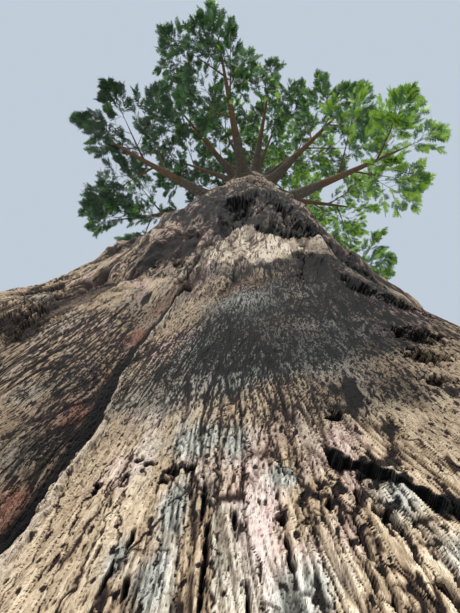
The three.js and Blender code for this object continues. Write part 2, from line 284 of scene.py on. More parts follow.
def crease(at):
    """A step exp(-(way past the line) / 2) down with the lip, the gap's painted shade, the red bark inside
    it, and the lip for its painted highlight.
    """
    line = -4.25 - 1.1 * smooth(at.height, 1.22, 1.55)
    line = line + 0.2 * noise(at.height / 0.09, at.height * 0, 99, 16)
    past = line - at.front + 0.15 * at.ragged
    here = (1 - smooth(at.height, 2.0, 2.25)) * smooth(at.height, 0.2, 0.8)
    step = smooth(past, -0.03, 0.06) * np.exp(-np.maximum(past, 0) / 2.0) * here
    lip = np.exp(-(((past + 0.16) / 0.16) ** 2)) * here
    inside = smooth(past, -0.02, 0.03) * here
    gap = inside * (1 - smooth(past, 0.9, 1.5))
    red = inside * np.exp(-(((past - 1.6) / 0.7) ** 2))
    red = red * (0.1 + 0.9 * smooth(ripple(at, 130, 0.12, 28), -0.1, 0.35))
    return CREASE_LIP * lip - CREASE_STEP * step, gap, red, lip


print("the crease is", round(1000 * (CREASE_LIP + CREASE_STEP)), "mm deep at most")


# %% [markdown]
# ## The ledge
# Higher up a thick slab of bark juts out in an arch. Its face has a pale band of painted sunlight,
# and it has painted shade under its foot and in the hollow above it. It could be a slab laid on the
# trunk, but its rim would show.
# Here the relief comes out slowly below the arch and drops sharply past it, so that the edge
# throws a real shadow.

# %% Ledge
ARCH_FOOT, ARCH_RISE, ARCH_WIDTH = 2.45, 1.0, 4.0
LEDGE_LIP, LEDGE_DROP = 0.05, 0.08
SUNLIT_SPOT = (-5.8, 2.5, 1.2, 0.2)


def ledge(at):
    """A rise to the arch foot + rise exp(-|front / width|^1.2) and a drop, its face's painted sunlight, its
    painted shade.
    """
    arch = ARCH_FOOT + ARCH_RISE * np.exp(-(np.abs(at.front / ARCH_WIDTH) ** 1.2))
    foot = 2.42 - 0.02 * at.front + 0.16 * np.exp(-((at.front / 2) ** 2)) + 0.16 * at.ragged
    here = smooth(at.front, -8, -5) * (1 - smooth(at.front, 8, 11))
    above = at.height - arch
    over_foot = at.height - foot
    lip = np.exp(np.minimum(above, 0) / 0.3) * (1 - smooth(above, 0, 0.07))
    past = smooth(above, 0, 0.07) * np.exp(-np.maximum(above, 0) / 0.5)
    face = smooth(over_foot, -0.06, 0.12) * (1 - smooth(above + 0.15 * at.ragged, -0.05, 0.03))
    # Painted sunlight: the band on the ledge's face, and a spot at its left end, are made pale as if lit.
    pale = 0.8 * here * face * (0.7 + 0.3 * smooth(at.ragged, -0.2, 0.2))
    pale = pale + 0.6 * bump(at.front, at.height, *SUNLIT_SPOT)
    # Painted shade under the arch's foot, and in the drop above the arch.
    under = (1 - smooth(over_foot, -0.03, 0.03)) * np.exp(np.minimum(over_foot, 0) / 0.3)
    return here * (LEDGE_LIP * lip - LEDGE_DROP * past), pale, here * (0.9 * past + 0.7 * under)


print("the ledge drops", round(1000 * (LEDGE_LIP + LEDGE_DROP)), "mm at most")


# %% [markdown]
# ## The tear
# Right of the middle the bark has come away in one long ragged tear, painted black inside as shade.
# It is a cut along a line through a few points, which a noise makes wander. A boolean cut's edge
# would be too clean. The painted shade is wider than the cut, or its walls would show as grey planks.

# %% Tear
# Degrees right of -Y and height of points along it.
TEAR = [(2.1, 1.18), (2.6, 1.163), (2.9, 1.15), (3.2, 1.126), (3.5, 1.103), (3.9, 1.085), (4.5, 1.07)]
TEAR_MIDDLE, TEAR_REACH, TEAR_THICK, TEAR_DEPTH = 3.2, 1.1, 0.01, 0.03


def tear(at):
    """How much a point is in the cut, and in its painted shade, from its height off the wandering line."""
    wander = TEAR_THICK * (1.4 * at.fine + 0.6 * ripple(at, 520, 0.3, 17))
    thick = TEAR_THICK * (1 + 1.2 * ripple(at, 900, 0.3, 29))
    off = np.abs(at.height - np.interp(at.front, *zip(*TEAR)) + wander) / thick
    ends = 1 - smooth(np.abs(at.front - TEAR_MIDDLE), 0.8 * TEAR_REACH, TEAR_REACH)
    return ends * (1 - smooth(off, 0.3, 1.0)), ends * (1 - smooth(off, 1.0, 1.6))


print("the tear is", 2 * TEAR_REACH, "degrees long and", TEAR_DEPTH, "m deep")

# %% [markdown]
# ## Furrows
# Bark this thick is made of fibres that the growing trunk tears apart. Furrows are where a noise
# stretched up the trunk passes through zero: they wander, part and join, which straight grooves
# or a texture of lines wouldn't do. Coarse ones run the whole height, and each finer set stops
# where the eye is too far away to see it.

# %% Furrows
# Cells round the trunk, cell height, depth where the bark is rough and where it is worn, share of a
# cell that the furrow's side takes, heights between which it fades, seed.
FURROWS = [
    (46, 1.5, 0.034, 0.001, 0.26, None, 1),
    (118, 0.7, 0.014, 0.0008, 0.16, None, 2),
    (300, 0.34, 0.006, 0.0012, 0.08, (11, 15), 3),
    (620, 0.26, 0.004, 0.0012, 0.08, (5, 8), 4),
    (1250, 0.15, 0.0025, 0.001, 0.12, (2.8, 4), 8),
    (2500, 0.09, 0.001, 0.0004, 0.2, (1.6, 2.1), 9),
]
SWAY_CELLS = 118  # sway is in cells of the second set


def furrows(at):
    """Depth and lightness, from 1 - smooth(|noise|) for each set."""
    deep, light = 0, 1
    for cells_round, tall, rough_deep, worn_deep, side, fades, seed in FURROWS:
        meander = at.around * cells_round + at.sway * cells_round / SWAY_CELLS
        cut = 1 - smooth(np.abs(noise(meander, at.height / tall, cells_round, seed)), 0, side)
        if fades:
            cut = cut * at.seen * (1 - smooth(at.height, *fades)) * (0.15 + 0.85 * at.torn)
        depth = rough_deep + (worn_deep - rough_deep) * at.worn
        deep = deep + depth * (1 - 0.4 * at.knotty) * cut * at.slim
        # A furrow is made darker, partly for its darker fibre and partly as painted shade in it.
        darker = 0.85 * (1 - 0.6 * at.near) if fades else 0.75 * (1 - 0.97 * at.worn)
        light = light * (1 - darker * cut)
    return deep, light


print("furrows are", [round(1000 * HAND_GIRTH / row[0], 1) for row in FURROWS], "mm apart")

# %% [markdown]
# ## Plates
# Between furrows lie strips and chips, each at a height and a slant of its own. They are cells
# round scattered points: each point of the bark belongs to the nearest one. A plate's height
# sinks to nothing at its seam, because a sheer step shows as saw teeth where it crosses the mesh.

# %% Plates
# Cells round the trunk, cell height, how far in or out, seam depth, heights where it fades, seed.
PLATES = [
    (560, 0.17, 0.0005, 0.001, (1.2, 1.4), 5),
    (1500, 0.07, 0.00035, 0.0008, (1.2, 1.45), 6),
    (3600, 0.018, 0.0002, 0.0005, (1.2, 1.45), 7),
]
STRIP_CELLS = 560  # the set whose plates are the strips
SCATTER = 0.44  # how far a point strays from the middle of its cell, in cells


def nearest_cell(x, y, cells_round, seed):
    """The nearest scattered point's draw and offsets, and how much further the second one is."""
    column, row = np.floor(x), np.floor(y)
    nearest = np.full(x.shape, 9.0)
    second = nearest
    draw = beside = above = np.zeros(x.shape)
    for dx in (-1, 0, 1):
        for dy in (-1, 0, 1):
            key = (column + dx) % cells_round + 0.37 * seed
            from_x = x - (column + dx + 0.5 + SCATTER * (2 * chance(key, row + dy) - 1))
            from_y = y - (row + dy + 0.5 + SCATTER * (2 * chance(key + 0.5, row + dy) - 1))
            far = np.hypot(from_x, from_y)
            closer = far < nearest
            second = np.where(closer, nearest, np.minimum(second, far))
            nearest = np.where(closer, far, nearest)
            draw = np.where(closer, chance(key + 0.25, row + dy), draw)
            beside = np.where(closer, from_x, beside)
            above = np.where(closer, from_y, above)
    return draw, beside, above, second - nearest


def plates(at):
    """Height far (2 draw - 1 + slant) less the seams, lightness, and a tone for each plate."""
    out = tone = strip = 0
    light = 1
    for cells_round, tall, far, seam, fades, seed in PLATES:
        fade = at.seen * (1 - smooth(at.height, *fades)) * smooth(at.height, 0.5, 0.95)
        x = at.around * cells_round + at.sway * cells_round / SWAY_CELLS + 0.25 * at.fine
        draw, beside, above, edge = nearest_cell(x, at.height / tall + 0.4 * at.sway, cells_round, seed)
        tilt = (chance(draw, 3) - 0.5) * beside + (chance(draw, 4) - 0.5) * above
        crack = (1 - smooth(edge, 0, 0.09)) * (chance(draw, 5) > 0.5)
        slab = (2 * draw - 1 + 0.5 * tilt) * smooth(edge, 0, 0.22)
        out = out + fade * (far * (1 + 1.5 * at.crumbly) * slab - seam * crack)
        # A seam is made darker, partly as a dark joint and partly as painted shade in it.
        darker = np.minimum(18 / cells_round**0.5 * (1 + 0.8 * at.crumbly), 0.9)
        light = light * (1 - darker * fade * crack)
        tone = tone + fade * (draw - 0.5)
        if cells_round == STRIP_CELLS:
            strip = fade * (draw - 0.5)
    return out, light, tone, strip


print("plates are", [round(1000 * HAND_GIRTH / row[0], 1) for row in PLATES], "mm wide")

# %% [markdown]
# ## Pits
# The bark is full of small pits, close together in some places and few in others. There are too
# many to place one by one, as the hollows were. They are where a noise rises over a limit, and a
# coarser noise gathers them in clumps.

# %% Pits
# Cells round the trunk, cell height, depth, noise above which there is one, heights where it fades, seed.
PITS = [
    (3400, 0.011, 0.0008, 0.6, (1.25, 1.5), 31),
    (2200, 0.024, 0.0012, 0.65, (1.5, 1.9), 32),
    (1100, 0.062, 0.002, 0.56, (2.1, 2.8), 33),
    (520, 0.15, 0.006, 0.5, (3.5, 5), 34),
    (240, 0.36, 0.012, 0.48, (7, 10), 35),
    (110, 0.8, 0.025, 0.48, (14, 20), 36),
]


def pits(at):
    """Depth and lightness, where noise + clumps is over the set's limit."""
    clumps = (0.25 * ripple(at, 60, 0.5, 18) + 0.2 * ripple(at, 260, 0.12, 23)) * (1 - 0.5 * at.near)
    deep, light = 0, 1
    for cells_round, tall, depth, limit, fades, seed in PITS:
        fade = at.seen * (1 - smooth(at.height, *fades)) * (1 - at.worn * smooth(fades[1], 1.8, 3))
        x = at.around * cells_round + 0.5 * at.sway
        spots = noise(x, at.height / tall, cells_round, seed) + 0.3 * at.fine
        pit = fade * smooth(spots + clumps + 0.35 * at.crumbly, limit - 0.02, limit + 0.16)
        deep = deep + depth * pit * at.slim
        # A pit is made darker, as painted shade in it.
        light = light * (1 - 0.85 * pit)
    return deep, light


print("pits are up to", [round(1000 * HAND_GIRTH / row[0], 1) for row in PITS], "mm wide")

# %% [markdown]
# ## The whole bark
# All the parts are added to one relief, and to a few values from 0 to 1 that the material reads:
# how light the bark is, how grey, pink, red or pale, and how deep in shade. They are kept on the
# mesh's points, so that colour and relief can't drift apart.

# %% Bark
KNOT_HEIGHT, ROUGH_HEIGHT = 0.07, 0.014


def hollows(at):
    """Relief and painted shade of the table of hollows, whose edges are shifted by the raggedness."""
    out = dark = 0
    for where, up, wide, tall, far in HOLLOWS:
        front = at.front + 1.5 * at.ragged * wide
        deep = bump(front, at.height - 1.5 * at.ragged * tall, where, up, wide, tall, 4)
        out = out + far * deep
        dark = np.maximum(dark, deep)
    return out, dark


def bark(turn, height):
    """The sum of all relief, and the values that colour it."""
    at = survey(turn, height)
    broad = 0.05 * ripple(at, 14, 1.6, 11) + 0.03 * ripple(at, 34, 0.7, 12)
    swellings = sum(far * bump(at.front, height, *place) for *place, far in SWELLINGS)
    hollow_out, hollow = hollows(at)
    cut, tear_shade = tear(at)
    step, gap, red, lip_highlight = crease(at)
    jut, pale, ledge_shade = ledge(at)
    furrow_deep, furrow_light = furrows(at)
    slabs, slab_light, tone, strip = plates(at)
    pit_deep, pit_light = pits(at)
    knots = ripple(at, 30, 0.8, 21) * at.knotty
    rough = ripple(at, 220, 0.3, 26) + 0.6 * ripple(at, 480, 0.14, 27)
    rough = rough * at.far * (1 - 0.6 * pale) * at.seen * (1 - smooth(height, 9, 15))
    out = broad * (1 - 0.9 * at.worn) * at.slim + swellings + hollow_out - TEAR_DEPTH * cut + step + jut
    out = out + KNOT_HEIGHT * knots + ROUGH_HEIGHT * rough - furrow_deep + slabs - pit_deep

    # Painted shade: hollows, the tear and the crease's gap are coloured near black, as if deep in shadow.
    hollow = np.maximum(hollow, tear_shade)
    # Painted sunlight: the bark near the eye is made lighter, and more so below 1.13 m right of the middle.
    painted_sun_at_foot = at.worn * (1 - smooth(height, 1.05, 1.13)) * smooth(at.front, -1.0, 0.4)
    light = furrow_light * slab_light * pit_light * (1 + 0.06 * at.near + 0.2 * painted_sun_at_foot)
    light = light * (1 - 0.92 * hollow) * (1 - 0.9 * gap)
    # Painted shade: the table's patches, knot hollows, blotches over the upper bole and the ledge's shade
    # darken the colour as if in shadow.
    upper_painted_shade = at.knotty * np.clip(0.35 + 0.9 * ripple(at, 40, 1.1, 22), 0, 1)
    dark = places(at, PAINTED_SHADE_PLACES) * (1 - 0.6 * strip) + smooth(-knots, 0.1, 0.5)
    dark = (dark + ledge_shade + upper_painted_shade) * (1 - 0.6 * red) + hollow + gap
    values = dict(level=light, tone=0.5 + tone / 2, redness=red)
    # Paleness: the ledge's painted sunlight, a painted highlight along the crease's lip, and pale spots
    # near the foot.
    values["paleness"] = np.maximum(np.maximum(pale, 0.5 * lip_highlight), places(at, PALE_PLACES))
    values["greyness"] = places(at, GREY_PLACES) + 0.5 * strip
    values["sunlit_pinkness"] = places(at, SUNLIT_PINK_PLACES)
    values["shade"] = np.clip(dark, 0, 1) * (1 - pale)
    return out, values


def bark_points(turn, height):
    """Centre line + (radius + relief) outwards, and what colours each point."""
    out, values = bark(turn, height)
    radius = np.maximum(trunk_radius(height, turn) + out, 0.01)
    across = np.stack([np.cos(turn), np.sin(turn)], -1) * radius[..., None]
    return np.concatenate([trunk_axis(height) + across, height[..., None]], -1), values


some_turns, some_heights = np.meshgrid(np.linspace(0, tau, 300), np.linspace(0, 30, 300))
relief = bark(some_turns, some_heights)[0]
print("the relief runs from", round(relief.min(), 3), "to", round(relief.max(), 3), "m")

# %% [markdown]
# ## Meshes from arrays
# A piece is one joined mesh, and its points and faces come as whole arrays: foreach_set copies
# them in at once, where bmesh would go point by point. Each piece rides on the tree's one body
# and hides the CAD nodes that it stands for.

# %% Mesh makers


def add_piece(name, points, faces, material, nodes, values=None, soft=True):
    """One object made of points and equal-sized faces, which stands for the given CAD nodes."""
    mesh = bpy.data.meshes.new(name)
    corners = faces.shape[1]
    mesh.vertices.add(len(points))
    mesh.vertices.foreach_set("co", np.ascontiguousarray(points, np.float32).ravel())
    mesh.loops.add(faces.size)
    mesh.loops.foreach_set("vertex_index", np.ascontiguousarray(faces, np.int32).ravel())
    mesh.polygons.add(len(faces))
    mesh.polygons.foreach_set("loop_start", np.arange(0, faces.size, corners, dtype=np.int32))
    mesh.polygons.foreach_set("use_smooth", np.full(len(faces), soft))
    for key, value in (values or {}).items():
        layer = mesh.attributes.new(key, "FLOAT", "POINT")
        layer.data.foreach_set("value", np.ascontiguousarray(value, np.float32).ravel())
    mesh.update(calc_edges=True)
    mesh.materials.append(material)
    piece = bpy.data.objects.new(name, mesh)
    bpy.context.scene.collection.objects.link(piece)
    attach(piece, "root")
    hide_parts(*nodes)
    print(name, "has", len(faces) * (corners - 2), "triangles")


def grid_faces(rows, columns):
    """Triangles between neighbouring points of a grid that was laid out row by row."""
    corner = np.arange(rows - 1)[:, None] * columns + np.arange(columns - 1)
    lower = np.stack([corner, corner + 1, corner + columns + 1], -1)
    upper = np.stack([corner, corner + columns + 1, corner + columns], -1)
    return np.vstack([lower.reshape(-1, 3), upper.reshape(-1, 3)])


def join(parts):
    """Joins (points, faces, values) parts into one, each part's faces counted on from the last."""
    firsts = np.cumsum([0] + [len(points) for points, _, _ in parts[:-1]])
    faces = np.vstack([faces + first for first, (_, faces, _) in zip(firsts, parts)])
    values = {key: np.concatenate([part[2][key] for part in parts]) for key in parts[0][2]}
    return np.vstack([points for points, _, _ in parts]), faces, values


print("a grid of 3 rows of 4 points has", len(grid_faces(3, 4)), "triangles")


# %% [markdown]
# ## Nodes
# A material is a tree of nodes. One function adds any node and gives one of its outputs, so a
# pattern reads as a line of text. Colours are given as in a paint chart and turned to the
# renderer's linear light. A pattern is placed by Object coordinates, so its size is in real
# millimetres whatever the mesh is like.

# %% Material makers


def linear(colour):
    """A hex colour's channels, each ((c + 0.055) / 1.055) ** 2.4, or c / 12.92 when dark."""
    channels = [int(colour[i : i + 2], 16) / 255 for i in (1, 3, 5)]
    return (*[((c + 0.055) / 1.055) ** 2.4 if c > 0.04045 else c / 12.92 for c in channels], 1)


def node(tree, kind, output=0, settings=None, stops=(), **inputs):
    """Adds a node and gives one output. Inputs are values or outputs, by name, or i0, i1 and on."""
    made = tree.nodes.new("ShaderNode" + kind)
    for key, value in (settings or {}).items():
        setattr(made, key, value)
    for number, (place, colour) in enumerate(stops):
        elements = made.color_ramp.elements
        element = elements[number] if number < 2 else elements.new(place)
        element.position = place
        element.color = linear(colour)
    for key, value in inputs.items():
        socket = made.inputs[int(key[1:]) if key[1:].isdigit() else key]
        if isinstance(value, bpy.types.NodeSocket):
            tree.links.new(value, socket)
        else:
            socket.default_value = value
    return made.outputs[output]


def new_material(name, **surface):
    """A material with one plain surface, its node tree, and its shader."""
    material = bpy.data.materials.new(name)
    material.use_nodes = True
    tree = material.node_tree
    shader = tree.nodes["Principled BSDF"]
    for key, value in surface.items():
        shader.inputs[key.replace("_", " ")].default_value = value
    return material, tree, shader


def streaks(tree, millimetres, stretch, detail=3.0):
    """Noise whose spots are this wide, and this many times as tall."""
    scale = 1000 / millimetres
    where = node(tree, "TexCoord", "Object")
    squeezed = node(tree, "Mapping", i0=where, Scale=(scale, scale, scale / stretch))
    return node(tree, "TexNoise", "Fac", i0=squeezed, Scale=1.0, Detail=detail, Roughness=0.6)


TIMES = dict(operation="MULTIPLY")
TIMES_CLAMPED = dict(operation="MULTIPLY", use_clamp=True)
TIMES_PLUS = dict(operation="MULTIPLY_ADD")
TIMES_PLUS_CLAMPED = dict(operation="MULTIPLY_ADD", use_clamp=True)
MINUS = dict(operation="SUBTRACT")
print("linear mid grey is", round(linear("#808080")[0], 3))

# %% [markdown]
# ## Sequoia bark: how light each spot is
# The bark is dry, soft fibre with no gloss at all, so it is rough, with little specular. How
# light a spot is comes first, from the furrows and pits of the mesh, and then from fibres. Real
# fibres are well under a millimetre wide and wouldn't show, so theirs are drawn over 2 mm wide.
# Dark strands follow, coarser the further up they are, so that they show at every distance.

# %% Sequoia bark, lightness
# It gives the eye a dull, deeply lined surface that breaks up into fibres close by.
BARK, tree, shader = new_material("sequoia bark", Roughness=0.92, Specular_IOR_Level=0.2)
drawn = {
    key: node(tree, "Attribute", "Fac", dict(attribute_name=key))
    for key in ("level", "tone", "greyness", "sunlit_pinkness", "redness", "paleness", "shade")
}
grains = streaks(tree, 2.2, 6)
fibres = streaks(tree, 2.4, 18)
# 0.72 x the mesh's lightness + each pattern's strength x its distance from its middle.
level = node(tree, "Math", settings=TIMES, i0=drawn["level"], i1=0.72)
for part, strength in ((grains, 0.7), (fibres, 0.5), (streaks(tree, 18, 9), 0.2), (drawn["tone"], 0.2)):
    centred = node(tree, "Math", settings=MINUS, i0=part, i1=0.5)
    level = node(tree, "Math", settings=TIMES_PLUS, i0=centred, i1=strength, i2=level)

# Width in millimetres, stretch and detail of the strands, and the heights between which they come in.
STRANDS = [(2.2, 6, 3, 1.08, 1.35), (4, 16, 2, 1.1, 1.4), (11, 16, 2, 1.7, 2.6), (26, 14, 2, 3, 4.5)]
height = node(tree, "SeparateXYZ", "Z", Vector=node(tree, "TexCoord", "Object"))
for wide, stretch, detail, low, high in STRANDS:
    strand = node(tree, "MapRange", i0=height, i1=low, i2=high, i3=-0.02, i4=0.08)
    # Painted shade is streaked: strands come in thicker where the bark has painted shade.
    strand = node(tree, "Math", settings=TIMES_PLUS, i0=drawn["shade"], i1=0.08, i2=strand)
    strand = node(tree, "Math", i0=streaks(tree, wide, stretch, detail), i1=strand)
    strand = node(tree, "MapRange", i0=strand, i1=0.66, i2=0.71, i3=1.0, i4=0.3)
    level = node(tree, "Math", settings=TIMES, i0=level, i1=strand)
left = node(tree, "Math", settings=TIMES_PLUS, i0=drawn["level"], i1=0.35, i2=0.65)
level = node(tree, "Math", settings=TIMES_CLAMPED, i0=level, i1=left)
print(len(tree.nodes), "nodes so far")

# %% [markdown]
# ## Sequoia bark: colours
# Each kind of bark has its own row of colours from a furrow's bottom to a plate's top: tan where
# it is dry, pink where a plate has just come off and as painted sunlight, blue-grey where weather has
# greyed it and as the tint of painted shade, red in the crease, and cream as painted sunlight on the
# ledge, as a painted highlight on the crease's lip and on a few pale spots near the foot. Mixing
# whole rows keeps every furrow dark in every colour.

# %% Sequoia bark, colours
ROWS = dict(
    tan=((0, "#080504"), (0.25, "#32241c"), (0.45, "#77644f"), (0.7, "#aa967c"), (1, "#dccbae")),
    pink=((0, "#080504"), (0.25, "#37251f"), (0.45, "#7f6a60"), (0.7, "#b1998e"), (1, "#dfcdc4")),
    grey=((0, "#060606"), (0.25, "#262622"), (0.45, "#605f58"), (0.7, "#95938a"), (1, "#d2cfc4")),
    red=((0, "#100604"), (0.3, "#40211a"), (0.7, "#7d4e40"), (1, "#ab8072")),
    cream=((0, "#1c1510"), (0.3, "#75675a"), (0.6, "#bbae9b"), (1, "#ebe2d3")),
)
patches = dict(pink=streaks(tree, 60, 3, 2), grey=streaks(tree, 130, 2.5))
shares = dict(red=node(tree, "Math", settings=TIMES, i0=drawn["redness"], i1=0.85), cream=drawn["paleness"])
for kind, key, low, high in (("pink", "sunlit_pinkness", 0.5, 0.66), ("grey", "greyness", 0.54, 0.76)):
    spread = node(tree, "Math", settings=TIMES_PLUS, i0=drawn[key], i1=0.3, i2=patches[kind])
    shares[kind] = node(tree, "MapRange", i0=spread, i1=low, i2=high)
colour = node(tree, "ValToRGB", "Color", stops=ROWS["tan"], Fac=level)
for kind in ("pink", "grey", "red", "cream"):
    row = node(tree, "ValToRGB", "Color", stops=ROWS[kind], Fac=level)
    colour = node(tree, "Mix", 2, dict(data_type="RGBA"), i0=shares[kind], i6=colour, i7=row)
# Colour x (1 + shade x (lightness / 2 - 1.08)), so light spots are shaded less than dark ones.
deeper = node(tree, "Math", settings=TIMES_PLUS, i0=level, i1=0.5, i2=-1.08)
dimmed = node(tree, "Math", settings=TIMES_PLUS_CLAMPED, i0=drawn["shade"], i1=deeper, i2=1.0)
colour = node(tree, "VectorMath", settings=dict(operation="SCALE"), i0=colour, Scale=dimmed)
tree.links.new(colour, shader.inputs["Base Color"])
bumps = node(tree, "Bump", Height=fibres, Distance=0.003, Strength=0.8)
bumps = node(tree, "Bump", Height=grains, Distance=0.003, Strength=0.9, Normal=bumps)
tree.links.new(bumps, shader.inputs["Normal"])
print(len(ROWS), "rows of colours and", len(tree.nodes), "nodes in the bark")

# %% [markdown]
# ## Bough bark, twig bark and leaves
# Bark on boughs and twigs is thinner and scaly. Its blotches are drawn 40 mm wide, coarser than
# its real scales, because the nearest bough is over 13 m from the eye. Leaves are small dull
# scales, waxy enough for a faint sheen. Each kind has one plain colour, because a leaf is too
# small to show more, and the tree's variety comes from dealing the kinds out spray by spray.

# %% Wood and leaves
# It gives the eye a matt, blotched surface, greyer on the boughs and warmer on the twigs.
wood = []
for name, dark, light in (("bough bark", "#2b251f", "#5c5348"), ("twig bark", "#3f2f24", "#65503a")):
    material, tree, shader = new_material(name, Roughness=0.9, Specular_IOR_Level=0.15)
    blotches = streaks(tree, 40, 3)
    colour = node(tree, "ValToRGB", "Color", stops=((0.3, dark), (0.7, light)), Fac=blotches)
    tree.links.new(colour, shader.inputs["Base Color"])
    wood.append(material)
BOUGH_BARK, TWIG_BARK = wood

# Name, colour, roughness and slot. They give the eye flecks of green with a faint sheen, dark where
# the leaves are old and bright at the growing tips, and lighter towards +X and darker towards -X, which is
# painted sunlight and shade.
LEAF_KINDS = [
    ("old and shaded leaves", "#1f3a1a", 0.6, "foliage_dark"),
    ("green leaves", "#3d6626", 0.55, "foliage_mid"),
    ("grey-green leaves", "#577a4c", 0.6, "foliage_mid"),
    ("young and sunlit leaves", "#93b83a", 0.5, "foliage_light"),
]
LEAVES = [
    (new_material(name, Base_Color=linear(colour), Roughness=roughness)[0], slot)
    for name, colour, roughness, slot in LEAF_KINDS
]
print(len(wood), "kinds of thin bark and", len(LEAVES), "kinds of leaves")

# %% [markdown]
# ## The bark's meshes
# The trunk is one closed skin in eight bands. Each band has a fine part in front, a fan that
# opens upwards as the eye's view of the trunk does, and a coarser part round the back. Where a
# fine edge meets a coarse one, its points are moved on to the coarse one's lines, so no gap
# shows, and a fan of triangles closes the foot and the top. A subdivided cylinder with
# displacement would need the finest faces all over. The near bands are shaded flat, which keeps
# their torn edges crisp.

# %% Bark's skin


def straighten(line, stride):
    """The points between every stride-th one, moved on to the straight line between those two."""
    index = np.arange(len(line))
    knots = index[::stride]
    return np.stack([np.interp(index, knots, line[knots, axis]) for axis in range(3)], -1)


def skin(heights, fronts, strides):
    """A grid of bark. Strides are those of the left and right, bottom and top edges."""
    height = np.broadcast_to(heights[:, None], fronts.shape)
    points, values = bark_points(np.radians(fronts - 90), height)
    sides, bottom, top = strides
    for column in (0, -1):
        points[:, column] = straighten(points[:, column], sides)
    points[0] = straighten(points[0], bottom)
    points[-1] = straighten(points[-1], top)
    faces = grid_faces(*fronts.shape)
    return points.reshape(-1, 3), faces, {key: value.ravel() for key, value in values.items()}


def lid(parts, faces_up):
    """A fan from the rim's middle to the rim, which is the last or first rows of two grids of skin."""
    rims = [(-columns, -1) if faces_up else (0, columns - 1) for _, columns in parts]
    rim = np.vstack([part[0][first:last] for (part, _), (first, last) in zip(parts, rims)])
    shared = {}
    for key in parts[0][0][2]:
        around = np.concatenate([part[2][key][first:last] for (part, _), (first, last) in zip(parts, rims)])
        shared[key] = np.append(around, around.mean())
    here = np.arange(len(rim))
    beside = (here + 1) % len(rim)
    middle = np.full(len(rim), len(rim))
    faces = np.stack([middle, here, beside] if faces_up else [middle, beside, here], -1)
    return np.vstack([rim, rim.mean(0)]), faces, shared


def graded(start, end, count, growth):
    """Numbers from start to end whose steps grow evenly, the last this many times the first."""
    share = np.linspace(0, 1, count + 1)
    uneven = (growth - 1) / (growth + 1)
    return start + (end - start) * (share + uneven * (share**2 - share))


print("four rows that shrink end at", graded(0, 1, 4, 0.35).round(2))


# %% Bark's bands
# Piece, bottom, top, rows, growth of the rows, columns in front, columns behind, rows to a row behind.
BANDS = [
    ("bark_foot", 0.0, 1.0, 60, 0.35, 120, 240, 3),
    ("bark_near", 1.0, 1.12, 200, 0.9, 480, 240, 50),
    ("bark_at_hand", 1.12, 1.24, 200, 1.2, 480, 240, 50),
    ("bark_eye_level", 1.24, 1.6, 120, 3.2, 480, 240, 20),
    ("bark_overhead", 1.6, 2.65, 102, 2.6, 480, 240, 6),
    ("bark_bole", 2.65, 7.0, 144, 2.0, 240, 240, 2),
    ("bark_bole", 7.0, 14.0, 112, 1.8, 120, 240, 1),
    ("bark_bole", 14.0, TRUNK_TOP, 220, 1.6, 60, 120, 1),
]
LAST = len(BANDS) - 1
pieces = {}
for number, (name, bottom, top, rows, growth, columns, behind, stride) in enumerate(BANDS):
    below, above = BANDS[max(number - 1, 0)], BANDS[min(number + 1, LAST)]
    heights = graded(bottom, top, rows, growth)
    edge = fan_edge(heights)[:, None]
    strides = (stride, max(1, columns // below[5]), max(1, columns // above[5]))
    front = skin(heights, edge * np.linspace(-1, 1, columns + 1), strides)
    heights, edge = heights[::stride], edge[::stride]
    strides = (1, max(1, behind // below[6]), max(1, behind // above[6]))
    back = skin(heights, edge + (360 - 2 * edge) * np.linspace(0, 1, behind + 1), strides)
    pieces.setdefault(name, []).append(front)
    pieces.setdefault("bark_behind", []).append(back)
    if number in (0, LAST):
        pieces["bark_behind"].append(lid([(front, columns + 1), (back, behind + 1)], number > 0))
for name, parts in pieces.items():
    soft = name in ("bark_bole", "bark_behind")
    points, faces, values = join(parts)
    add_piece(name, points, faces, BARK, ["trunk"], values, soft)

# %% [markdown]
# ## The limbs' plan
# A sequoia's limbs leave the trunk all round it. Here they follow one spiral, each a golden angle
# on from the last, so that hardly any stand right over each other. A limb ends with more rise than it
# starts with, because its tip seeks the light. Each holds an egg-shaped space that its foliage
# keeps to, as in the CAD model, so the masses never grow into one another.

# %% Limbs
BOUGH_COUNT, LEAFY_COUNT = 24, 9
LIMB_COUNT = BOUGH_COUNT + LEAFY_COUNT
GOLDEN_ANGLE = pi * (3 - 5**0.5)
FIRST_TURN = radians(200)
CROWN_FOOT, CROWN_HEAD = 14.3, 37.5
WIDEST_REACH, CROWN_POWER, CROWN_FULLNESS = 5.9, 1.7, 0.7
BARE_SHARE = 0.24
PITCH_LOW, PITCH_HIGH, UPTURN = -0.16, 0.85, 0.22
LIMB_GIRTH, LIMB_TAPER = 0.037, 0.55
TWIG_RADIUS = 0.032
SPACE_SHAPE = np.array([1, 1.2, 0.95])
SPACE_EDGE = 1.01  # a little over 1, for rounding
OWN_LEAD = 0.04  # by how much a leaf is nearer the middle of its own space than of any other
BOUGH_ROOM = 1.8  # how many bough radii leaves stay away from other boughs
UP = np.array([0.0, 0.0, 1.0])


def heading(turn, pitch):
    """A unit direction from a turn about the trunk and a rise above level."""
    return np.array([cos(turn) * cos(pitch), sin(turn) * cos(pitch), sin(pitch)])


def unit(v):
    """v over its length, for one vector or many."""
    return v / np.linalg.norm(v, axis=-1, keepdims=True)


def bend(limb, share):
    """(1 - s)^2 start + 2 s (1 - s) knee + s^2 end."""
    s = np.asarray(share)[..., None]
    return (1 - s) ** 2 * limb["start"] + 2 * s * (1 - s) * limb["knee"] + s**2 * limb["end"]


